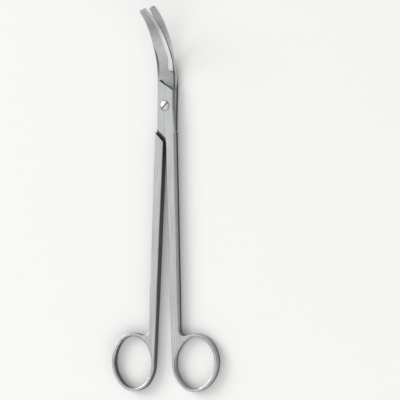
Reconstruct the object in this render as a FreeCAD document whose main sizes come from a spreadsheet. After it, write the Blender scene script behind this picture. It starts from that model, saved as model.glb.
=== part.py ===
import FreeCAD, Part
import math
import os
import Sketcher

App = FreeCAD
V = App.Vector

# Curved surgical scissors, drawn lying on their back.
# X runs to the right, Y towards the tips and Z up. The origin is on the
# pivot's axis, in the plane of the two flat backs. Each half is drawn
# straight, with its shank along Y, and its Placement turns it about the
# pivot to the drawn opening.

DIMENSIONS = {
    # Lap joint, where the two halves cross
    "rear_lap_thickness": 2.8,
    "front_lap_thickness": 3.0,
    "lap_clearance": 0.05,
    "front_opening_angle": 1.6,
    "rear_opening_angle": 2.6,
    "box_spine_width": 4.6,
    "box_edge_width": 4.85,
    "notch_width": 5.05,
    "rear_notch_width": 6.3,
    "notch_height": 14.2,
    "shoulder_height": 16.2,
    # Blades
    "curve_start": 8.0,
    "curve_radius": 54.0,
    "curve_angle": 66.0,
    "rear_back_start": 6.0,
    "front_tip_thickness": 1.35,
    "rear_tip_thickness": 1.7,
    "heel_height": 18.0,
    "belly_height": 26.0,
    "front_heel_width": 5.45,
    "front_belly_width": 5.75,
    "front_edge_tip": 1.1,
    "front_spine_tip": 1.75,
    "rear_heel_width": 4.7,
    "rear_belly_width": 4.75,
    "rear_edge_tip": -1.9,
    "rear_spine_heel": 5.6,
    "rear_spine_tip": 3.6,
    "edge_radius": 450.0,
    "front_spine_rounding": 3.0,
    "front_edge_rounding": 1.1,
    "rear_spine_rounding": 1.1,
    "rear_edge_rounding": 1.7,
    "tip_clearance": 0.2,
    # Grinding
    "runout_radius": 7.0,
    "runout_height": 14.5,
    "runout_skew": 0.26,
    "edge_thickness_heel": 1.0,
    "edge_thickness_tip": 0.7,
    "grind_crown": 0.22,
    "bevel_width_heel": 1.9,
    "bevel_width_tip": 1.3,
    "bevel_land": 0.15,
    "bevel_height": 19.3,
    "facet_start": 14.0,
    "facet_end": 37.0,
    "facet_width": 1.7,
    "facet_slope": 0.35,
    "hollow_depth_heel": 1.0,
    "hollow_depth_tip": 0.55,
    "hollow_land": 0.3,
    # Shanks and rings
    "shank_clearance": 0.2,
    "shank_width_top": 5.5,
    "thumb_shank_width_low": 4.3,
    "finger_shank_width_low": 4.9,
    "shank_rounding": 0.6,
    "opening_rounding": 0.9,
    "ring_drop": 152.6,
    "ring_length": 30.6,
    "thumb_ring_width": 23.7,
    "finger_ring_width": 25.3,
    "ring_wall": 2.0,
    "ring_end_radius": 9.8,
    "ring_depth": 4.8,
    "ring_tilt": 6.0,
    "web_angle": 12.0,
    "crotch_radius": 3.5,
    "thinning_start": 110.0,
    "thinning_end": 130.0,
    # Pivot screw
    "screw_diameter": 3.6,
    "screw_clearance": 0.05,
    "screw_head_diameter": 6.0,
    "screw_head_height": 1.2,
    "screw_dome_height": 0.6,
    "screw_slot_width": 0.65,
    "screw_slot_depth": 0.75,
    "screw_slot_angle": 45.0,
}

# How far a cutting tool reaches past the metal that it cuts
REACH = 20.0
# How far a ground section is carried past the blade's two sides
OVERRUN = 0.5
# Degrees that the grinding runs on past the tip, and over which the bevel starts
PAST_TIP = 6.0
BEVEL_START = 1.2


class Size:
    """A length or angle as a number and as the expression that binds it."""

    def __init__(self, value, text):
        self.value = value
        self.text = text

    def __add__(self, other):
        other = as_size(other)
        return Size(self.value + other.value, f"({self.text} + {other.text})")

    def __sub__(self, other):
        other = as_size(other)
        return Size(self.value - other.value, f"({self.text} - {other.text})")

    def __mul__(self, other):
        other = as_size(other)
        return Size(self.value * other.value, f"({self.text} * {other.text})")

    def __truediv__(self, other):
        other = as_size(other)
        return Size(self.value / other.value, f"({self.text} / {other.text})")

    def __neg__(self):
        return self * -1

    def sine(self):
        return Size(math.sin(math.radians(self.value)), f"sin({self.text})")

    def cosine(self):
        return Size(math.cos(math.radians(self.value)), f"cos({self.text})")

    def root(self):
        return Size(math.sqrt(self.value), f"sqrt({self.text})")


def as_size(number):
    if isinstance(number, Size):
        return number
    return Size(float(number), f"({float(number)})")


doc = App.newDocument("surgical_scissors")
sheet = doc.addObject("Spreadsheet::Sheet", "sizes")
for row, (name, number) in enumerate(DIMENSIONS.items(), start=1):
    sheet.set(f"A{row}", name)
    sheet.set(f"B{row}", str(number))
    sheet.setAlias(f"B{row}", name)
doc.recompute()
size = {name: Size(float(sheet.get(name)), f"sizes.{name}") for name in DIMENSIONS}

# Heights that the pieces share
parting_height = size["rear_lap_thickness"]
total_thickness = size["rear_lap_thickness"] + size["front_lap_thickness"]
half_gap = size["shank_clearance"] / 2
curve_centre_height = parting_height + size["curve_radius"]


# Sketches and solids

FLAT = App.Rotation()
SIDEWAYS = App.Rotation(V(1, 1, 1), 120)


def pin(sketch, geometry, end, point):
    """Fix one end of a line or arc at a bound place."""
    for kind, coordinate in zip(("DistanceX", "DistanceY"), point):
        number = sketch.addConstraint(
            Sketcher.Constraint(kind, -1, 1, geometry, end, coordinate.value))
        sketch.setExpression(f"Constraints[{number}]", coordinate.text)


def outline(name, corners, radii, rotation=FLAT, height=None, body=None, plane=None):
    """A closed sketch through corners, at a height or on a body's own plane.

    radii turns a side, by its number, into an arc: its radius, and 1 where it
    bows to the right of its direction or -1 to the left.
    """
    if body:
        sketch = body.newObject("Sketcher::SketchObject", name)
        sketch.AttachmentSupport = (plane, [""])
        sketch.MapMode = "FlatFace"
    else:
        sketch = doc.addObject("Sketcher::SketchObject", name)
        sketch.Placement = App.Placement(V(), rotation)
    if height:
        sketch.setExpression("Placement.Base.z", height.text)
    corners = [tuple(as_size(c) for c in corner) for corner in corners]
    count = len(corners)
    for side in range(count):
        start = V(corners[side][0].value, corners[side][1].value)
        end = V(corners[(side + 1) % count][0].value, corners[(side + 1) % count][1].value)
        if side in radii:
            radius, turn = radii[side]
            middle = arc_middle(start, end, radius.value, turn)
            sketch.addGeometry(Part.Arc(start, middle, end))
            number = sketch.addConstraint(
                Sketcher.Constraint("Radius", side, radius.value))
            sketch.setExpression(f"Constraints[{number}]", radius.text)
        else:
            sketch.addGeometry(Part.LineSegment(start, end))
    for side in range(count):
        reversed_here = side in radii and radii[side][1] < 0
        reversed_next = (side + 1) % count in radii and radii[(side + 1) % count][1] < 0
        pin(sketch, side, 2 if reversed_here else 1, corners[side])
        far_end = 1 if reversed_here else 2
        near_end = 2 if reversed_next else 1
        sketch.addConstraint(Sketcher.Constraint(
            "Coincident", side, far_end, (side + 1) % count, near_end))
    return sketch


def arc_middle(start, end, radius, turn):
    """The middle point of the arc, which bows right for turn 1 and left for -1."""
    chord = end - start
    half = chord.Length / 2
    sagitta = radius - math.sqrt(radius * radius - half * half)
    right = V(chord.y, -chord.x).normalize()
    return (start + end) * 0.5 + right * (sagitta * turn)


def extrusion(name, sketch, length, symmetric=False, direction=V(0, 0, 1)):
    """The solid that a sketch sweeps along a direction."""
    solid = doc.addObject("Part::Extrusion", name)
    solid.Base = sketch
    solid.DirMode = "Custom"
    solid.Dir = direction
    solid.Solid = True
    solid.Symmetric = symmetric
    solid.setExpression("LengthFwd", as_size(length).text)
    return solid


def boolean(kind, name, base, tool):
    result = doc.addObject(f"Part::{kind}", name)
    if kind == "MultiFuse":
        result.Shapes = [base, *tool]
    else:
        result.Base = base
        result.Tool = tool
    return result


def check_cut(before, after):
    """A tool that misses its piece leaves the volume as it was."""
    doc.recompute()
    if after.Shape.Volume > before.Shape.Volume - 1e-3:
        raise ValueError(f"{after.Name} removes nothing")


# Handles: shank, blend and ring


def handle(name, hand, ring_width, low_width):
    """The shank and ring, on the side of X that hand gives."""
    sign = as_size(hand)
    inner = sign * half_gap
    outer_top = sign * (half_gap + size["shank_width_top"])
    outer_low = half_gap + low_width
    ring = Oval(hand, ring_width / 2, size["ring_length"] / 2, size["ring_end_radius"])
    rim = ring.wider(size["ring_wall"])
    across = half_gap + rim.reach()
    centre = (sign * across, -size["ring_drop"])
    # The web runs from the shank's outer side to the ring's far end, and meets it smoothly
    web = size["web_angle"]
    web_across = across + rim.end_across() - rim.end_radius * web.sine()
    web_height = centre[1] + rim.end_along() + rim.end_radius * web.cosine()
    web_fall = (web_across - outer_low) * web.sine() / web.cosine()
    shank = outline(f"{name}_shank_outline", [
        (inner, -size["notch_height"]),
        (inner, centre[1] - rim.sag()),
        (centre[0], centre[1] - rim.sag()),
        (sign * web_across, web_height),
        (sign * outer_low, web_height - web_fall),
        (outer_top, -size["shoulder_height"]),
        (outer_top, -size["notch_height"]),
    ], {})
    shank_solid = extrusion(f"{name}_shank", shank, total_thickness)
    disc_solid = extrusion(f"{name}_ring", rim.sketch(f"{name}_ring_outline", centre),
                           total_thickness)
    blank = boolean("MultiFuse", f"{name}_blank", shank_solid, [disc_solid])
    blank.Refine = True
    doc.recompute()
    crotch = doc.addObject("Part::Fillet", f"{name}_crotch")
    crotch.Base = blank
    crotch.Edges = [(number, size["crotch_radius"].value, size["crotch_radius"].value)
                    for number in crotch_edges(blank.Shape, outer_low.value, web_height.value)]
    side = thickness_outline(f"{name}_side_outline")
    side_solid = extrusion(f"{name}_side", side, REACH * 4, True, V(1, 0, 0))
    thinned = boolean("Common", f"{name}_thinned", crotch, side_solid)
    opening_solid = extrusion(f"{name}_opening", ring.sketch(f"{name}_opening_outline", centre),
                              total_thickness)
    pierced = boolean("Cut", f"{name}_pierced", thinned, opening_solid)
    check_cut(thinned, pierced)
    rounded = doc.addObject("Part::Fillet", f"{name}_handle")
    rounded.Base = pierced
    rounded.Edges = handle_roundings(pierced.Shape, ring, centre)
    doc.recompute()
    return rounded


class Oval:
    """Four arcs: two ends along Y, two wide sides, leaning from Y by the ring's tilt.

    across and along are its half axes. Its lower end leans towards the pivot line.
    """

    def __init__(self, hand, across, along, end_radius):
        self.hand = hand
        self.across = across
        self.along = along
        self.end_radius = end_radius
        rise = along - end_radius
        spread = (across - end_radius) * 2
        self.side_radius = (across * across + rise * rise - end_radius * end_radius) / spread
        self.tilt = size["ring_tilt"]

    def wider(self, wall):
        """The oval that lies a wall's thickness outside this one."""
        return Oval(self.hand, self.across + wall, self.along + wall, self.end_radius + wall)

    def reach(self):
        """How far the leaning oval reaches sideways from its centre."""
        return self.side_radius - (self.side_radius - self.across) * self.tilt.cosine()

    def sag(self):
        """How far its innermost point lies below its centre."""
        return (self.side_radius - self.across) * self.tilt.sine()

    def end_across(self):
        """Where the upper end's arc is centred, sideways from the oval's centre."""
        return (self.along - self.end_radius) * self.tilt.sine()

    def end_along(self):
        """Where the upper end's arc is centred, above the oval's centre."""
        return (self.along - self.end_radius) * self.tilt.cosine()

    def sketch(self, name, centre):
        """The oval as a sketch at its centre."""
        shift = self.side_radius - self.across
        rise = self.along - self.end_radius
        gap = self.side_radius - self.end_radius
        join_x = self.side_radius * shift / gap - shift
        join_y = self.side_radius * rise / gap
        result = outline(name, [
            (join_x, join_y), (-join_x, join_y), (-join_x, -join_y), (join_x, -join_y),
        ], {0: (self.end_radius, 1), 1: (self.side_radius, 1),
            2: (self.end_radius, 1), 3: (self.side_radius, 1)})
        lean = self.tilt * -self.hand
        result.Placement = App.Placement(
            V(centre[0].value, centre[1].value, 0), App.Rotation(V(0, 0, 1), lean.value))
        result.setExpression("Placement.Base.x", centre[0].text)
        result.setExpression("Placement.Base.y", centre[1].text)
        result.setExpression("Placement.Rotation.Angle", lean.text)
        return result


def thickness_outline(name):
    """The handle's side: full thickness on the shank, tapered to the thinner ring."""
    drop = (total_thickness - size["ring_depth"]) / 2
    lower = -(size["ring_drop"] + size["ring_length"])
    return outline(name, [
        (lower, drop),
        (-size["thinning_end"], drop),
        (-size["thinning_start"], 0),
        (0, 0),
        (0, total_thickness),
        (-size["thinning_start"], total_thickness),
        (-size["thinning_end"], total_thickness - drop),
        (lower, total_thickness - drop),
    ], {}, SIDEWAYS)


def crotch_edges(shape, outer_low, web_height):
    """The upright edge where the shank's outer side meets the web."""
    numbers = []
    for number, edge in enumerate(shape.Edges, start=1):
        box = edge.BoundBox
        upright = box.ZLength > 1 and box.XLength < 1e-4 and box.YLength < 1e-4
        beside_shank = abs(abs(box.XMin) - outer_low) < 1e-3
        if upright and beside_shank and abs(box.YMin - web_height) < size["ring_length"].value:
            numbers.append(number)
    return numbers


def handle_roundings(shape, ring, centre):
    """Every long edge of the handle; the ring's opening is rounded most."""
    reach = ring.along.value + 1e-3
    middle = V(centre[0].value, centre[1].value, 0)
    roundings = []
    for number, edge in enumerate(shape.Edges, start=1):
        if edge.BoundBox.YLength < 1e-4:
            continue
        ends = [V(vertex.X, vertex.Y, 0) for vertex in edge.Vertexes]
        on_opening = all((end - middle).Length < reach for end in ends)
        radius = size["opening_rounding" if on_opening else "shank_rounding"].value
        roundings.append((number, radius, radius))
    return roundings


thumb_handle = handle("thumb", -1, size["thumb_ring_width"], size["thumb_shank_width_low"])
finger_handle = handle("finger", 1, size["finger_ring_width"], size["finger_shank_width_low"])


# Lap plates and blades


def curve_point(offset, angle):
    """A place on the curve, offset from the parting face and away from the curve's centre."""
    radius = size["curve_radius"] + offset
    return (size["curve_start"] + radius * angle.sine(),
            curve_centre_height - radius * angle.cosine())


def tangent_radius(start, height, end):
    """The radius of an arc that leaves (start, height) along Y and ends at end."""
    along = end[0] - start
    rise = end[1] - height
    return (along * along + rise * rise) / (rise * 2)


def blade(name, near, far, near_start, far_start, corners, arcs, roundings):
    """A lap plate and blade: its side profile and its plan, each swept through the other.

    near and far are (height at the lap joint, offset at the tip) of its two faces.
    roundings are the tip's radii on its left and right.
    """
    angle = size["curve_angle"]
    near_end = curve_point(near[1], angle)
    far_end = curve_point(far[1], angle)
    side = outline(f"{name}_side_outline", [
        (-REACH * 2, near[0]),
        (near_start, near[0]),
        near_end,
        far_end,
        (far_start, far[0]),
        (-REACH * 2, far[0]),
    ], {1: (tangent_radius(near_start, near[0], near_end), 1),
        3: (tangent_radius(far_start, far[0], far_end), -1)}, SIDEWAYS)
    plan = outline(f"{name}_plan_outline", corners, arcs)
    side_solid = extrusion(f"{name}_side", side, REACH * 2, True, V(1, 0, 0))
    plan_solid = extrusion(f"{name}_plan", plan, REACH * 4)
    plain = boolean("Common", f"{name}_plain_blade", side_solid, plan_solid)
    doc.recompute()
    rounded = doc.addObject("Part::Fillet", f"{name}_blade")
    rounded.Base = plain
    left, right = tip_edges(plain.Shape)
    rounded.Edges = [(left, roundings[0].value, roundings[0].value),
                     (right, roundings[1].value, roundings[1].value)]
    return rounded


def tip_edges(shape):
    """The two edges through the blade's thickness at its tip, the left one first."""
    angle = size["curve_angle"]
    numbers = []
    for number, edge in enumerate(shape.Edges, start=1):
        ends = [vertex.Point for vertex in edge.Vertexes]
        if len(ends) < 2:
            continue
        along = (ends[1] - ends[0]).normalize()
        normal = V(0, -angle.sine().value, angle.cosine().value)
        if abs(along.dot(normal)) > 0.95 and min(p.y for p in ends) > REACH:
            numbers.append((ends[0].x, number))
    return [number for across, number in sorted(numbers)]


front_face = parting_height + size["lap_clearance"]
notch_foot = -(size["notch_height"] + size["notch_width"] + half_gap)
rear_notch_foot = -(size["notch_height"] + size["rear_notch_width"] + half_gap)
shoulder_foot = -(size["shoulder_height"] + size["shank_width_top"])
outer = half_gap + size["shank_width_top"]
# Plans reach this far in Y, past the tips
plan_end = size["curve_start"] + size["curve_radius"] + REACH / 4

# The front half's blade lies on the left and its shank on the right
front_blade = blade(
    "front",
    (front_face, -size["tip_clearance"]),
    (total_thickness, -size["front_tip_thickness"]),
    size["curve_start"], size["curve_start"],
    [
        (-size["notch_width"], -size["notch_height"]),
        (half_gap, notch_foot),
        (half_gap, shoulder_foot),
        (outer, -size["shoulder_height"]),
        (size["box_edge_width"], 0),
        (size["front_heel_width"], size["heel_height"]),
        (size["front_belly_width"], size["belly_height"]),
        (size["front_edge_tip"], plan_end),
        (-size["front_spine_tip"], plan_end),
        (-size["box_spine_width"], 0),
    ], {6: (size["edge_radius"], 1)},
    (size["front_spine_rounding"], size["front_edge_rounding"]))
rear_blade = blade(
    "rear",
    (as_size(0), size["rear_tip_thickness"]),
    (parting_height, as_size(0)),
    size["rear_back_start"], size["curve_start"],
    [
        (size["rear_notch_width"], -size["notch_height"]),
        (size["rear_spine_heel"], size["heel_height"]),
        (size["rear_spine_tip"], plan_end),
        (-size["rear_edge_tip"], plan_end),
        (-size["rear_belly_width"], size["belly_height"]),
        (-size["rear_heel_width"], size["heel_height"]),
        (-size["box_edge_width"], 0),
        (-outer, -size["shoulder_height"]),
        (-half_gap, shoulder_foot),
        (-half_gap, rear_notch_foot),
    ], {1: (size["edge_radius"], -1), 3: (size["edge_radius"], 1)},
    (size["rear_edge_rounding"], size["rear_spine_rounding"]))

# Grinding


def tool_angles(first, heel, last):
    """Close stations over the run-out, then wider ones to past the tip."""
    runout = [first + (heel - first) * step / 5 for step in range(5)]
    return runout + [heel + (last - heel) * step / 8 for step in range(9)]


def angle_at(height):
    """The curve's angle at a height in Y."""
    return math.degrees(math.asin(
        (height - size["curve_start"].value) / size["curve_radius"].value))


def height_at(angle):
    return size["curve_start"].value + size["curve_radius"].value * math.sin(math.radians(angle))


def side_place(corners, height, bow):
    """How far out a blade's side lies at a height; bow bends its last stretch out or in."""
    for start, end in zip(corners, corners[1:]):
        if height <= end[1] or end is corners[-1]:
            share = (height - start[1]) / (end[1] - start[1])
            place = start[0] + (end[0] - start[0]) * share
            if end is corners[-1]:
                chord = math.dist(start, end)
                place += bow * chord * chord * share * (1 - share) / (2 * size["edge_radius"].value)
            return place


class Grinding:
    """Where one blade's faces, edge and spine lie, for the tools that grind it.

    hand is the side of X that the edge lies on. facing is -1 where the blade
    lies inside the curve and 1 where it lies outside. spine_bow is 0 for a
    straight spine and -1 for one that is hollow in plan.
    """

    def __init__(self, hand, facing, edge, spine, spine_bow, joint, tip, back_start):
        self.hand = hand
        self.facing = facing
        self.edge = [tuple(c.value for c in corner) for corner in edge]
        self.spine = [tuple(c.value for c in corner) for corner in spine]
        self.spine_bow = spine_bow
        end = curve_point(tip * facing, size["curve_angle"])
        joint_height = parting_height + joint * (-facing)
        radius = tangent_radius(back_start, joint_height, end)
        self.back_centre = V(0, back_start.value, joint_height.value + radius.value)
        self.back_radius = radius.value

    def point(self, across, depth, angle):
        """A place at a distance across the blade and a depth from the parting face."""
        radius = size["curve_radius"].value + self.facing * depth
        turn = math.radians(angle)
        return V(self.hand * across,
                 size["curve_start"].value + radius * math.sin(turn),
                 curve_centre_height.value - radius * math.cos(turn))

    def edge_place(self, angle):
        return side_place(self.edge, height_at(angle), 1)

    def spine_place(self, angle):
        return -side_place(self.spine, height_at(angle), self.spine_bow)

    def thickness(self, angle):
        """The blade's thickness before it is ground."""
        centre = self.point(0, 0, 0) + V(0, 0, size["curve_radius"].value)
        turn = math.radians(angle)
        ray = V(0, math.sin(turn), -math.cos(turn))
        offset = centre - self.back_centre
        along = ray.dot(offset)
        reach = math.sqrt(along * along - offset.dot(offset) + self.back_radius ** 2) - along
        return (reach - size["curve_radius"].value) * self.facing

    def edge_thickness(self, angle):
        """Thickness at the edge under the ground slope."""
        heel = angle_at(size["heel_height"].value)
        share = max(0, (angle - heel) / (size["curve_angle"].value - heel))
        change = size["edge_thickness_tip"].value - size["edge_thickness_heel"].value
        return size["edge_thickness_heel"].value + change * share

    def slope(self, angle):
        """How fast the ground face rises from the edge to the spine."""
        angle = max(angle, angle_at(size["heel_height"].value))
        width = self.edge_place(angle) - self.spine_place(angle)
        return (self.thickness(angle) - self.edge_thickness(angle)) / width

    def runout(self, across, angle):
        """How far the wheel has left the face; it leaves the spine's side first."""
        skew = size["runout_skew"].value * (self.edge_place(angle) - across)
        short = size["runout_height"].value + skew - height_at(angle)
        return max(0, short) ** 2 / (2 * size["runout_radius"].value)

    def face_height(self, across, angle):
        """How far the ground face lies above the parting face, with its crown."""
        edge = self.edge_place(angle)
        share = (across - self.spine_place(angle)) / (edge - self.spine_place(angle))
        crown = size["grind_crown"].value * 4 * share * (1 - share)
        rise = self.slope(angle) * (edge - across)
        return self.edge_thickness(angle) + rise + crown + self.runout(across, angle)

    def face_tool(self):
        """The wheel that grinds the outer face, from its run-out at the heel to the tip."""
        first = angle_at(size["curve_start"].value + OVERRUN)
        heel = angle_at(size["heel_height"].value)
        sections = []
        for angle in tool_angles(first, heel, size["curve_angle"].value + PAST_TIP):
            edge = self.edge_place(angle) + OVERRUN
            spine = self.spine_place(angle) - OVERRUN
            middle = (edge + spine) / 2
            top = self.face_height(spine, angle) + total_thickness.value
            start = self.point(edge, self.face_height(edge, angle), angle)
            end = self.point(spine, self.face_height(spine, angle), angle)
            arc = Part.Arc(start, self.point(middle, self.face_height(middle, angle), angle), end)
            sections.append(Part.Wire([
                arc.toShape(),
                Part.makeLine(end, self.point(spine, top, angle)),
                Part.makeLine(self.point(spine, top, angle), self.point(edge, top, angle)),
                Part.makeLine(self.point(edge, top, angle), start)]))
        return Part.makeLoft(sections, True, False)

    def bevel_tool(self):
        """The stone that cuts the bevel, with a short start at the heel end."""
        land = size["bevel_land"].value
        first = angle_at(size["bevel_height"].value)
        last = size["curve_angle"].value
        narrowing = size["bevel_width_tip"].value - size["bevel_width_heel"].value
        sections = []
        for angle in tool_angles(first, first + BEVEL_START, last + PAST_TIP):
            width = size["bevel_width_heel"].value + narrowing * (angle - first) / (last - first)
            start = max(0, 1 - (angle - first) / BEVEL_START) ** 2 * width
            edge = self.edge_place(angle) + start
            steepness = (self.face_height(edge - width - start, angle) - land) / width
            reach = width * 2
            sections.append(Part.makePolygon([
                self.point(edge + OVERRUN, land - steepness * OVERRUN, angle),
                self.point(edge - reach, land + steepness * reach, angle),
                self.point(edge + OVERRUN, land + steepness * reach, angle),
                self.point(edge + OVERRUN, land - steepness * OVERRUN, angle)]))
        return Part.makeLoft(sections, True, False)

    def facet_tool(self):
        """The stone that takes a lens-shaped facet off the spine."""
        first = angle_at(size["facet_start"].value)
        last = angle_at(size["facet_end"].value)
        slope = size["facet_slope"].value
        sections = []
        for step in range(13):
            # A little more than the facet's length, so that both ends run out clear of it
            share = step / 12 * 1.1 - 0.05
            angle = first + (last - first) * share
            spine = self.spine_place(angle)
            width = size["facet_width"].value * 4 * share * (1 - share)
            height = self.face_height(spine + width, angle)
            reach = size["facet_width"].value * 2
            low = height - slope * (width + OVERRUN)
            high = height + slope * reach
            sections.append(Part.makePolygon([
                self.point(spine - OVERRUN, low, angle),
                self.point(spine + width + reach, high, angle),
                self.point(spine - OVERRUN, high, angle),
                self.point(spine - OVERRUN, low, angle)]))
        return Part.makeLoft(sections, True, False)

    def hollow_tool(self):
        """The hollow of the inner face, deepest at the spine."""
        land = size["hollow_land"].value
        first = angle_at(size["curve_start"].value + OVERRUN)
        heel = angle_at(size["heel_height"].value)
        last = size["curve_angle"].value
        sections = []
        for number, angle in enumerate(tool_angles(first, heel, last + PAST_TIP)):
            share = (angle - heel) / (last - heel)
            change = size["hollow_depth_tip"].value - size["hollow_depth_heel"].value
            depth = size["hollow_depth_heel"].value + change * share
            if angle < heel:
                depth = size["hollow_depth_heel"].value * (angle - first) / (heel - first)
            clear = 0.1 if number == 0 else 0
            edge = self.edge_place(angle)
            spine = self.spine_place(angle)
            steepness = depth / (edge - spine - land)
            low = -steepness * (land + OVERRUN) - clear
            high = steepness * (edge - spine - land + OVERRUN) - clear
            sections.append(Part.makePolygon([
                self.point(edge + OVERRUN, low, angle),
                self.point(spine - OVERRUN, high, angle),
                self.point(spine - OVERRUN, -1, angle),
                self.point(edge + OVERRUN, -1, angle),
                self.point(edge + OVERRUN, low, angle)]))
        return Part.makeLoft(sections, True, False)


def ground(name, blank, grinding):
    """The blade after its outer face, spine facet, bevel and hollow are ground."""
    result = blank
    for work, shape in (("face", grinding.face_tool()), ("facet", grinding.facet_tool()),
                        ("bevel", grinding.bevel_tool()), ("hollow", grinding.hollow_tool())):
        tool = doc.addObject("Part::Feature", f"{name}_{work}_tool")
        tool.Shape = shape
        cut = boolean("Cut", f"{name}_{work}_ground", result, tool)
        check_cut(result, cut)
        result = cut
    return result


front_ground = ground("front", front_blade, Grinding(
    1, -1,
    [(size["box_edge_width"], as_size(0)),
     (size["front_heel_width"], size["heel_height"]),
     (size["front_belly_width"], size["belly_height"]),
     (size["front_edge_tip"], plan_end)],
    [(size["box_spine_width"], as_size(0)), (size["front_spine_tip"], plan_end)], 0,
    size["front_lap_thickness"], size["front_tip_thickness"], size["curve_start"]))
rear_ground = ground("rear", rear_blade, Grinding(
    -1, 1,
    [(size["box_edge_width"], as_size(0)),
     (size["rear_heel_width"], size["heel_height"]),
     (size["rear_belly_width"], size["belly_height"]),
     (size["rear_edge_tip"], plan_end)],
    [(size["rear_notch_width"], -size["notch_height"]),
     (size["rear_spine_heel"], size["heel_height"]),
     (size["rear_spine_tip"], plan_end)], -1,
    size["rear_lap_thickness"], size["rear_tip_thickness"], size["rear_back_start"]))


# Halves: the handle is milled away where the other half crosses it, then joined to its blade


def cylinder(name, radius, length, height):
    solid = doc.addObject("Part::Cylinder", name)
    solid.setExpression("Radius", as_size(radius).text)
    solid.setExpression("Height", as_size(length).text)
    solid.setExpression("Placement.Base.z", as_size(height).text)
    return solid


def half(name, hand, handle_solid, blade_solid, mill_base, bores):
    sign = as_size(hand)
    beyond = as_size(OVERRUN)
    mill_outline = outline(f"{name}_mill_outline", [
        (sign * (half_gap - beyond), shoulder_foot - beyond),
        (sign * (outer + beyond), -size["shoulder_height"] + beyond),
        (sign * (outer + beyond), 0),
        (sign * (half_gap - beyond), 0),
    ], {}, height=mill_base)
    mill = extrusion(f"{name}_mill", mill_outline, REACH)
    milled = boolean("Cut", f"{name}_milled", handle_solid, mill)
    check_cut(handle_solid, milled)
    joined = boolean("MultiFuse", f"{name}_joined", milled, [blade_solid])
    solid = boolean("Cut", name, joined, bores)
    check_cut(joined, solid)
    return solid


head_seat = total_thickness - size["screw_head_height"]
running_radius = size["screw_diameter"] / 2 + size["screw_clearance"]
front_bore = cylinder("front_bore", running_radius, REACH, 0)
head_recess = cylinder("head_recess", size["screw_head_diameter"] / 2 + size["screw_clearance"],
                       REACH, head_seat)
front_bores = boolean("MultiFuse", "front_bores", front_bore, [head_recess])
rear_bore = cylinder("rear_bore", size["screw_diameter"] / 2, REACH * 2, -REACH)

front_half = half("front_half", 1, finger_handle, front_ground, front_face - REACH, front_bores)
rear_half = half("rear_half", -1, thumb_handle, rear_ground, parting_height, rear_bore)
front_half.Placement = App.Placement(V(), App.Rotation(V(0, 0, 1), size["front_opening_angle"].value))
front_half.setExpression("Placement.Rotation.Angle", size["front_opening_angle"].text)
rear_half.Placement = App.Placement(V(), App.Rotation(V(0, 0, -1), size["rear_opening_angle"].value))
rear_half.setExpression("Placement.Rotation.Angle", size["rear_opening_angle"].text)


# Pivot screw


def origin_plane(body, role):
    return next(item for item in body.Origin.OriginFeatures if item.Role == role)


screw = doc.addObject("PartDesign::Body", "pivot_screw")
head_foot = head_seat + size["lap_clearance"]
head_radius = size["screw_head_diameter"] / 2
dome_top = total_thickness + size["screw_dome_height"]
dome_rise = size["screw_dome_height"]
dome_radius = (head_radius * head_radius + dome_rise * dome_rise) / (dome_rise * 2)
profile = outline("screw_profile", [
    (0, 0),
    (size["screw_diameter"] / 2, 0),
    (size["screw_diameter"] / 2, head_foot),
    (head_radius, head_foot),
    (head_radius, total_thickness),
    (0, dome_top),
], {4: (dome_radius, 1)}, body=screw, plane=origin_plane(screw, "XZ_Plane"))
turned = screw.newObject("PartDesign::Revolution", "screw_turned")
turned.Profile = profile
turned.ReferenceAxis = (profile, ["V_Axis"])
turned.Angle = 360
doc.recompute()
slot_half = size["screw_slot_width"] / 2
slot_outline = outline("slot_outline", [
    (-head_radius - OVERRUN, -slot_half),
    (head_radius + OVERRUN, -slot_half),
    (head_radius + OVERRUN, slot_half),
    (-head_radius - OVERRUN, slot_half),
], {}, body=screw, plane=origin_plane(screw, "XY_Plane"))
slot_outline.AttachmentOffset = App.Placement(
    V(0, 0, dome_top.value), App.Rotation(V(0, 0, 1), size["screw_slot_angle"].value))
slot_outline.setExpression("AttachmentOffset.Base.z", dome_top.text)
slot_outline.setExpression("AttachmentOffset.Rotation.Angle", size["screw_slot_angle"].text)
slot = screw.newObject("PartDesign::Pocket", "screw_slot")
slot.Profile = slot_outline
slot.setExpression("Length", size["screw_slot_depth"].text)
check_cut(turned, slot)

pieces = {"front_half": front_half, "rear_half": rear_half, "pivot_screw": screw}
doc.recompute()
for item in doc.Objects:
    if "Invalid" in item.State or "Error" in item.State:
        raise ValueError(f"{item.Name} failed")
os.makedirs("parts", exist_ok=True)
for name, piece in pieces.items():
    piece.Label = name
    if piece.Shape.isNull() or not piece.Shape.isValid() or len(piece.Shape.Solids) != 1:
        raise ValueError(f"{name} isn't one valid solid")
    piece.Shape.exportStep(f"parts/{name}.step")
    box = piece.Shape.BoundBox
    print(f"{name}: {piece.Shape.Volume:.0f} mm3, X {box.XMin:.1f} to {box.XMax:.1f},"
          f" Y {box.YMin:.1f} to {box.YMax:.1f}, Z {box.ZMin:.1f} to {box.ZMax:.1f}")
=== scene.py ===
# %% [markdown]
# Curved surgical scissors, dressed for a studio picture
#
# The real object is two forged and ground halves of stainless steel, held by one
# slotted screw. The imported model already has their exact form, so this lesson keeps
# those meshes and spends its work on what the eye reads as steel: the direction of
# the grinding lines, the difference between a satin shank, a polished ring and a
# freshly ground blade, and what the metal has to reflect.

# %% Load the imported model
import math

import bpy
from mathutils import Matrix, Vector

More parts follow.
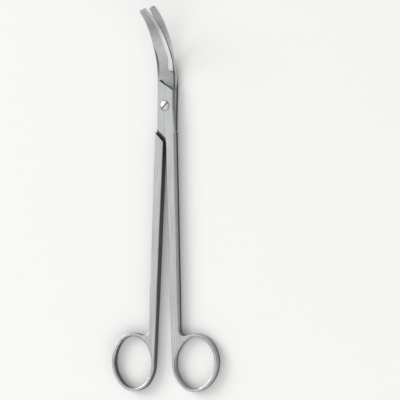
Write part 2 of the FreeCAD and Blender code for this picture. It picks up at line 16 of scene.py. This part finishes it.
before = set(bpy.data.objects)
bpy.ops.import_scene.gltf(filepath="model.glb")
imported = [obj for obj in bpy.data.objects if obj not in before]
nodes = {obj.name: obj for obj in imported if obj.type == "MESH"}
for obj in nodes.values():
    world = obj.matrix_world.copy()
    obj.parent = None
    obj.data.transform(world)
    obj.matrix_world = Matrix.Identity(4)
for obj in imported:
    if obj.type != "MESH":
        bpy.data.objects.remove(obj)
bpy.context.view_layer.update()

scene = bpy.context.scene
for name, node in nodes.items():
    print(f"{name}: {len(node.data.polygons)} faces")

# %% [markdown]
# The scissors lie on their back on a table, as they would on an instrument tray.
# The picture shows them upright and turned a little about their own length, so the
# camera looks down and leans to the right by that angle. A very long lens keeps the
# raised blade tips and the low rings at the same scale, as a catalogue drawing does.

# %% Camera
MM = 0.001
TURN = math.radians(24)
PICTURE_WIDTH = 236.7 * MM
AIM_RIGHT = 20.9 * MM
AIM_ALONG = -55.9 * MM
AIM_HEIGHT = 5.8 * MM
LENS = 1200.0
SENSOR = 36.0

towards_camera = Vector((math.sin(TURN), 0, math.cos(TURN)))
camera_right = Vector((math.cos(TURN), 0, -math.sin(TURN)))
camera_up = Vector((0, 1, 0))
aim = camera_right * AIM_RIGHT + camera_up * AIM_ALONG + Vector((0, 0, AIM_HEIGHT))
distance = PICTURE_WIDTH * LENS / SENSOR

camera_data = bpy.data.cameras.new("studio_camera")
camera_data.lens = LENS
camera_data.sensor_width = SENSOR
camera_data.clip_end = 50
camera = bpy.data.objects.new("studio_camera", camera_data)
axes = Matrix((camera_right, camera_up, towards_camera)).transposed()
camera.matrix_world = Matrix.Translation(aim + towards_camera * distance) @ axes.to_4x4()
scene.collection.objects.link(camera)
scene.camera = camera
print(f"camera {distance:.2f} m away, leaning {math.degrees(TURN):.0f} degrees")

# %% [markdown]
# Colours are written as the hex values that a picture editor shows. Shaders work
# with linear light, so one function turns a hex value into linear numbers. A second
# one adds a node with its settings and links, and a third writes arithmetic, so
# each material below reads like a recipe.

# %% Helpers for colours and nodes


def linear(hex_colour):
    """An sRGB hex colour as linear red, green, blue and alpha."""
    channels = [int(hex_colour[i:i + 2], 16) / 255 for i in (1, 3, 5)]
    return [c / 12.92 if c <= 0.04045 else ((c + 0.055) / 1.055) ** 2.4
            for c in channels] + [1.0]


def add(tree, kind, links=None, **settings):
    """Add a node; links maps an input to an output or to a plain value."""
    node = tree.nodes.new(kind)
    for name, value in settings.items():
        setattr(node, name, value)
    for name, value in (links or {}).items():
        if isinstance(value, bpy.types.NodeSocket):
            tree.links.new(value, node.inputs[name])
        else:
            node.inputs[name].default_value = value
    return node


def calc(tree, operation, *values, clamp=False):
    """One arithmetic step on outputs or plain numbers."""
    links = dict(enumerate(values))
    return add(tree, "ShaderNodeMath", links, operation=operation, use_clamp=clamp).outputs[0]


def between(tree, value, low, high, blur):
    """1 where value lies between low and high, fading to 0 over blur."""
    rise = add(tree, "ShaderNodeMapRange", {
        "Value": value, "From Min": low - blur, "From Max": low}).outputs[0]
    fall = add(tree, "ShaderNodeMapRange", {
        "Value": value, "From Min": high, "From Max": high + blur,
        "To Min": 1.0, "To Max": 0.0}).outputs[0]
    return calc(tree, "MULTIPLY", rise, fall)


def blend(tree, share, first, second):
    """A number that goes from first to second as share goes from 0 to 1."""
    return add(tree, "ShaderNodeMix", {"Factor": share, "A": first, "B": second},
               data_type="FLOAT").outputs["Result"]


def blend_colour(tree, share, first, second):
    """A colour that goes from first to second as share goes from 0 to 1."""
    node = tree.nodes.new("ShaderNodeMix")
    node.data_type = "RGBA"
    colour_inputs = [socket for socket in node.inputs if socket.type == "RGBA"]
    for socket, value in [(node.inputs["Factor"], share), *zip(colour_inputs, (first, second))]:
        if isinstance(value, bpy.types.NodeSocket):
            tree.links.new(value, socket)
        else:
            socket.default_value = value
    return next(socket for socket in node.outputs if socket.type == "RGBA")


def new_material(name):
    """An empty node material, its tree and its output."""
    material = bpy.data.materials.new(name)
    material.use_nodes = True
    material.node_tree.nodes.clear()
    return material, material.node_tree, add(material.node_tree, "ShaderNodeOutputMaterial")


print("mid grey in linear light:", round(linear("#808080")[0], 3))

# %% [markdown]
# The finishes on one half
#
# A half is forged from stainless steel. Its flats are belt-polished along the shank,
# its ring is buffed, and its blade is ground across. The bevel of the cutting edge is
# honed brighter, with fine cross lines, and the facet on the spine is duller. A dark
# line of painted shade runs where the wheel bit in at the shoulder, and the lap faces
# carry painted shade at the notch, between the halves.
#
# The sides of the handles carry painted shade, darker than the flats. On the thumb's
# half the whole side is painted dark. On the finger's half only the lower edge of the
# side, next to the table, is painted dark.
#
# One material holds all the finishes of a half, because it is one piece of metal.
# Masks tell them apart by the form: the ring by its place, the sides by their slope
# and height, the bevel by its own slope, and the ground blade by how deep the wheel
# has cut.
#
# Real polishing scratches are about 0.05 mm apart, finer than a pixel here, so they
# are drawn 0.6 mm apart. Each pattern is noise, stretched along the scratches. On
# the blade the pattern follows the curve: the angle around the curve's centre,
# times its radius, is the distance along the blade. The cross lines of the bevel are
# too fine for the picture as well, so they are drawn 0.9 mm apart.

# %% Satin steel for the halves
STEEL_LIGHT = "#C3C4C4"
STEEL_DARK = "#A3A5A7"
HONED_STEEL = "#C8C8C6"
# Dark grey for the bevel's cross lines, and painted shade on the lap faces in the notch
DARK_LINE_AND_SHADE_STEEL = "#5E6062"
SHOULDER_SHADE_STEEL = "#3A3C3E"
THUMB_SIDE_SHADE_STEEL = "#5B5D60"
LOWER_EDGE_SHADE_STEEL = "#3A3C3E"
SPINE_STEEL = "#8A8C8E"

# Spacing and length of the scratches, and the relief of each pattern
SHANK_SCRATCH = (0.6 * MM, 30 * MM)
BLADE_SCRATCH = (0.6 * MM, 9 * MM)
CROSS_LINE_PITCH = 0.9 * MM
SCRATCH_DEPTH = 0.02 * MM
CROSS_LINE_DEPTH = 0.004 * MM
CLOUD_SIZE = 14 * MM

# The form of the part, measured along Y from the screw and up from the table
PARTING_HEIGHT = 2.8 * MM
FRONT_THICKNESS = 3.0 * MM
CURVE_START = 8 * MM
CURVE_RADIUS = 54 * MM
BEVEL_START = 19.3 * MM
SPINE_END = 50 * MM
RING_START = -134 * MM
RING_FADE = 6 * MM
FRONT_TURN = math.radians(1.6)
REAR_TURN = math.radians(-2.6)

# Where each finish begins and ends; a slope is the sideways part of a face's normal
GROUND_DEPTH = 0.03 * MM
SHOULDER_DEPTHS = (0.04 * MM, 0.4 * MM)
SHOULDER_PLACES = (8.5 * MM, 15 * MM)
HANDLE_PLACES = (-200 * MM, 12 * MM)
LAP_PLACES = (-24 * MM, 9 * MM)
NOTCH_PLACES = (-30 * MM, -15 * MM)
LAP_REACH = 0.1 * MM
BEVEL_SLOPES = (0.42, 0.85)
SPINE_SLOPES = (-0.9, -0.3)
SLOPE_FADE = 0.03
STEEP_FROM = 0.6
STEEP_TO = 0.2
BELOW_TABLE = -1 * MM
LOWER_EDGE_HEIGHT = 2.2 * MM
ABOVE_HANDLES = 6.8 * MM

# Contrast of the scratches in colour, then the roughness of each finish
STREAK_GAIN = 1.8
STREAK_SHIFT = -0.4
CROSS_LINE_CONTRAST = 0.25
SATIN_ROUGH = 0.22
STREAK_ROUGH = 0.18
CLOUD_ROUGH = 0.1
BUFFED_ROUGH = 0.14
BUFFED_SHARE = 0.55
HONED_ROUGH = 0.16
HONED_SHARE = 0.5
LAPPED_ROUGH = 0.5


def streaks(tree, across, along, spacing, length):
    """Noise stretched along a direction, from 0 to 1."""
    place = add(tree, "ShaderNodeCombineXYZ", {
        "X": calc(tree, "DIVIDE", across, spacing), "Y": calc(tree, "DIVIDE", along, length)})
    return add(tree, "ShaderNodeTexNoise", {
        "Vector": place.outputs[0], "Scale": 1.0, "Detail": 3.0,
        "Roughness": 0.65}, noise_dimensions="2D").outputs[0]


def half_steel(name, turn, edge_side, side_colour, dark_height):
    """Steel for one half, turned with it.

    edge_side is the side of X on which its cutting edge lies, and the sides of its
    handle carry painted shade, in side_colour, up to dark_height.
    """
    material, tree, output = new_material(name)
    place = add(tree, "ShaderNodeTexCoord")
    straight = add(tree, "ShaderNodeMapping", {
        "Vector": place.outputs["Object"], "Rotation": (0, 0, turn)}, vector_type="TEXTURE")
    spot = add(tree, "ShaderNodeSeparateXYZ", {"Vector": straight.outputs[0]})
    x, y, z = spot.outputs
    facing = add(tree, "ShaderNodeSeparateXYZ", {"Vector": place.outputs["Normal"]})
    normal_x, _, normal_z = facing.outputs

    # Place around the blade's curve, and how deep the wheel has cut from the flat
    forward = calc(tree, "SUBTRACT", y, CURVE_START)
    below = calc(tree, "SUBTRACT", PARTING_HEIGHT + CURVE_RADIUS, z)
    along_blade = calc(tree, "MULTIPLY", calc(tree, "ARCTAN2", forward, below), CURVE_RADIUS)
    from_centre = calc(tree, "SQRT", calc(tree, "ADD", calc(tree, "POWER", forward, 2),
                                          calc(tree, "POWER", below, 2)))
    cut_depth = calc(tree, "SUBTRACT", from_centre, CURVE_RADIUS - FRONT_THICKNESS)

    # Masks, each 1 where its finish lies and 0 elsewhere
    ring = add(tree, "ShaderNodeMapRange", {
        "Value": y, "From Min": RING_START, "From Max": RING_START - RING_FADE}).outputs[0]
    ground = calc(tree, "MULTIPLY", calc(tree, "GREATER_THAN", y, CURVE_START),
                  calc(tree, "GREATER_THAN", cut_depth, GROUND_DEPTH))
    # Painted shade: a dark line along the foot of the shoulder, where the wheel's cut begins
    shoulder = calc(tree, "MULTIPLY",
                    between(tree, cut_depth, *SHOULDER_DEPTHS, 0.02 * MM),
                    between(tree, y, *SHOULDER_PLACES, 0.3 * MM))
    slope = calc(tree, "MULTIPLY", normal_x, edge_side)
    bevel = calc(tree, "MULTIPLY", between(tree, slope, *BEVEL_SLOPES, SLOPE_FADE),
                 calc(tree, "GREATER_THAN", y, BEVEL_START))
    steep = add(tree, "ShaderNodeMapRange", {
        "Value": calc(tree, "ABSOLUTE", normal_z), "From Min": STEEP_FROM,
        "From Max": STEEP_TO}).outputs[0]
    handle = between(tree, y, *HANDLE_PLACES, 4 * MM)
    # Painted shade on the steep sides of the handle, up to the given height
    side_shade = calc(tree, "MULTIPLY", calc(tree, "MULTIPLY", steep, handle),
                     between(tree, z, BELOW_TABLE, dark_height, 0.6 * MM))
    spine = calc(tree, "MULTIPLY", between(tree, slope, *SPINE_SLOPES, SLOPE_FADE),
                 between(tree, y, CURVE_START, SPINE_END, 0.2 * MM))
    notch = between(tree, y, *NOTCH_PLACES, 1 * MM)
    lap_zone = calc(tree, "MULTIPLY", between(tree, z, PARTING_HEIGHT - LAP_REACH,
                                              PARTING_HEIGHT + LAP_REACH, 0.02 * MM),
                    between(tree, y, *LAP_PLACES, 0.1 * MM))

    # Scratches along the shank, across the blade, and cross lines on the bevel
    across_all = calc(tree, "ADD", x, z)
    shank_lines = streaks(tree, across_all, y, *SHANK_SCRATCH)
    blade_lines = streaks(tree, along_blade, across_all, *BLADE_SCRATCH)
    lines = blend(tree, ground, shank_lines, blade_lines)
    wave = calc(tree, "SINE", calc(tree, "MULTIPLY", along_blade,
                                   2 * math.pi / CROSS_LINE_PITCH))
    cross_lines = calc(tree, "MULTIPLY", wave, bevel)
    cloud = add(tree, "ShaderNodeTexNoise", {
        "Vector": straight.outputs[0], "Scale": 1 / CLOUD_SIZE, "Detail": 2.0}).outputs[0]

    # Colour, roughness and relief
    colour = blend_colour(tree, calc(tree, "MULTIPLY_ADD", lines, STREAK_GAIN, STREAK_SHIFT,
                                     clamp=True), linear(STEEL_DARK), linear(STEEL_LIGHT))
    colour = blend_colour(tree, side_shade, colour, linear(side_colour))
    colour = blend_colour(tree, spine, colour, linear(SPINE_STEEL))
    colour = blend_colour(tree, bevel, colour, linear(HONED_STEEL))
    dark_lines = calc(tree, "MULTIPLY", cross_lines, CROSS_LINE_CONTRAST, clamp=True)
    colour = blend_colour(tree, dark_lines, colour, linear(DARK_LINE_AND_SHADE_STEEL))
    # Painted shade: the lap faces are painted dark in the notch, between the halves
    lap_colour_with_shade = blend_colour(tree, notch, linear(STEEL_LIGHT), linear(DARK_LINE_AND_SHADE_STEEL))
    colour = blend_colour(tree, lap_zone, colour, lap_colour_with_shade)
    # Painted shade along the shoulder
    colour = blend_colour(tree, shoulder, colour, linear(SHOULDER_SHADE_STEEL))
    rough = calc(tree, "MULTIPLY_ADD", lines, STREAK_ROUGH, SATIN_ROUGH)
    rough = calc(tree, "MULTIPLY_ADD", cloud, CLOUD_ROUGH, rough)
    rough = blend(tree, calc(tree, "MULTIPLY", ring, BUFFED_SHARE), rough, BUFFED_ROUGH)
    rough = blend(tree, calc(tree, "MULTIPLY", bevel, HONED_SHARE), rough, HONED_ROUGH)
    rough = blend(tree, lap_zone, rough, LAPPED_ROUGH)
    fine = add(tree, "ShaderNodeBump", {
        "Height": blend(tree, bevel, lines, 0.5), "Distance": SCRATCH_DEPTH, "Strength": 0.5})
    relief = add(tree, "ShaderNodeBump", {
        "Height": cross_lines, "Distance": CROSS_LINE_DEPTH, "Strength": 1.0,
        "Normal": fine.outputs[0]})
    shader = add(tree, "ShaderNodeBsdfPrincipled", {
        "Base Color": colour, "Metallic": 1.0, "Roughness": rough, "Normal": relief.outputs[0]})
    tree.links.new(shader.outputs[0], output.inputs[0])
    return material


# Painted shade: on the lower edge of the finger's sides, and over the whole of the thumb's sides
front_steel = half_steel("satin_steel_front_half", FRONT_TURN, 1,
                         LOWER_EDGE_SHADE_STEEL, LOWER_EDGE_HEIGHT)
rear_steel = half_steel("satin_steel_rear_half", REAR_TURN, -1,
                        THUMB_SIDE_SHADE_STEEL, ABOVE_HANDLES)
print("finishes:", front_steel.name, "and", rear_steel.name)

# %% [markdown]
# The screw is turned on a lathe, so its marks are rings about its own axis. Its slot
# was sawn and keeps the saw's duller surface below the polished dome, with painted
# shade in it. The rim of the head lies in the shade of its seat, which is painted on
# as a thin dark circle.

# %% Turned steel for the screw
SCREW_STEEL = "#D0CFCC"
SLOT_AND_RIM_SHADE_STEEL = "#55575A"
TURNING_PITCH = 0.2 * MM
SLOT_ANGLE = math.radians(45)
SLOT_HALF_WIDTH = 0.33 * MM
HEAD_RADIUS = 3.0 * MM
RIM_WIDTH = 0.25 * MM
TURNING_DEPTH = 0.004 * MM
BEYOND_SCREW = 1.0

screw_steel, tree, output = new_material("turned_steel_screw")
place = add(tree, "ShaderNodeTexCoord")
spot = add(tree, "ShaderNodeSeparateXYZ", {"Vector": place.outputs["Object"]})
radius = calc(tree, "SQRT", calc(tree, "ADD", calc(tree, "POWER", spot.outputs[0], 2),
                                 calc(tree, "POWER", spot.outputs[1], 2)))
rings = add(tree, "ShaderNodeTexNoise", {
    "W": calc(tree, "DIVIDE", radius, TURNING_PITCH), "Scale": 1.0, "Detail": 2.0},
    noise_dimensions="1D").outputs[0]
from_slot = calc(tree, "ABSOLUTE", calc(tree, "SUBTRACT",
                 calc(tree, "MULTIPLY", spot.outputs[1], math.cos(SLOT_ANGLE)),
                 calc(tree, "MULTIPLY", spot.outputs[0], math.sin(SLOT_ANGLE))))
slot = between(tree, from_slot, -BEYOND_SCREW, SLOT_HALF_WIDTH, 0.02 * MM)
rim = between(tree, radius, HEAD_RADIUS - RIM_WIDTH, BEYOND_SCREW, 0.05 * MM)
# Painted shade: the slot and the rim of the head are painted dark, and are also rougher
slot_and_rim_shade = calc(tree, "MAXIMUM", slot, rim)
colour = blend_colour(tree, slot_and_rim_shade, linear(SCREW_STEEL), linear(SLOT_AND_RIM_SHADE_STEEL))
rough = blend(tree, slot_and_rim_shade, calc(tree, "MULTIPLY_ADD", rings, 0.15, 0.36), 0.5)
relief = add(tree, "ShaderNodeBump", {
    "Height": rings, "Distance": TURNING_DEPTH, "Strength": 0.6})
shader = add(tree, "ShaderNodeBsdfPrincipled", {
    "Base Color": colour, "Metallic": 1.0, "Roughness": rough, "Normal": relief.outputs[0]})
tree.links.new(shader.outputs[0], output.inputs[0])

for name, material in (("front_half", front_steel), ("rear_half", rear_steel),
                       ("pivot_screw", screw_steel)):
    nodes[name].data.materials.clear()
    nodes[name].data.materials.append(material)
    print(f"{name} wears {material.name}")

# %% [markdown]
# The studio. Steel shows what surrounds it, so the room matters as much as the
# metal. The key lamp stands behind and to the left, and throws a soft shadow to the
# right, which the right-hand sides of the steel mirror as a dark line. A broad lamp
# at the foot of the table is what the bent blade mirrors, and one at the right is
# for its bevel. A grey dome with a soft glow overhead gives the flats an even light
# grey, and lets every ground, bent or rounded face fall away from it in tone.

# %% Floor, lamps and world
FLOOR = "#F7F7F5"
FLOOR_REACH = 6.0
SCISSORS_MIDDLE = (0, -0.05, 0)

floor_mesh = bpy.data.meshes.new("studio_floor")
floor_mesh.from_pydata([(-FLOOR_REACH, -FLOOR_REACH, 0), (FLOOR_REACH, -FLOOR_REACH, 0),
                        (FLOOR_REACH, FLOOR_REACH, 0), (-FLOOR_REACH, FLOOR_REACH, 0)],
                       [], [(0, 1, 2, 3)])
floor = bpy.data.objects.new("studio_floor", floor_mesh)
scene.collection.objects.link(floor)
floor_paint, tree, output = new_material("matt_pale_table")
shader = add(tree, "ShaderNodeBsdfPrincipled", {
    "Base Color": linear(FLOOR), "Roughness": 0.9, "Specular IOR Level": 0.1})
tree.links.new(shader.outputs[0], output.inputs[0])
floor_mesh.materials.append(floor_paint)


def softbox(name, place, size, watts):
    """A rectangular soft lamp that points at the middle of the scissors, in metres."""
    light = bpy.data.lights.new(name, "AREA")
    light.shape = "RECTANGLE"
    light.size, light.size_y = size
    light.energy = watts
    lamp = bpy.data.objects.new(name, light)
    lamp.location = place
    aim_at = Vector(SCISSORS_MIDDLE) - Vector(place)
    lamp.rotation_euler = aim_at.to_track_quat("-Z", "Y").to_euler()
    scene.collection.objects.link(lamp)
    return lamp


softbox("key_softbox", place=(-1.7, 0.8, 1.2), size=(1.2, 1.2), watts=25)
softbox("fill_softbox", place=(1.2, -0.95, 0.8), size=(1.5, 1.3), watts=7)
softbox("foot_softbox", place=(0, -1.5, 1.0), size=(2.2, 1.4), watts=7)

DOME_BASE = 0.25
DOME_GLOW = 0.85
GLOW_DIRECTION = (-math.sin(TURN), 0, math.cos(TURN))
GLOW_SHARPNESS = 3

world = bpy.data.worlds.new("studio_dome")
scene.world = world
world.use_nodes = True
tree = world.node_tree
tree.nodes.clear()
direction = add(tree, "ShaderNodeTexCoord")
towards_glow = add(tree, "ShaderNodeVectorMath", {
    0: direction.outputs["Generated"], 1: GLOW_DIRECTION}, operation="DOT_PRODUCT")
glow = calc(tree, "POWER", calc(tree, "MAXIMUM", towards_glow.outputs["Value"], 0),
            GLOW_SHARPNESS)
background = add(tree, "ShaderNodeBackground", {
    "Color": linear("#FFFFFF"), "Strength": calc(tree, "MULTIPLY_ADD", glow, DOME_GLOW, DOME_BASE)})
add(tree, "ShaderNodeOutputWorld", {"Surface": background.outputs[0]})

scene.view_settings.view_transform = "Standard"
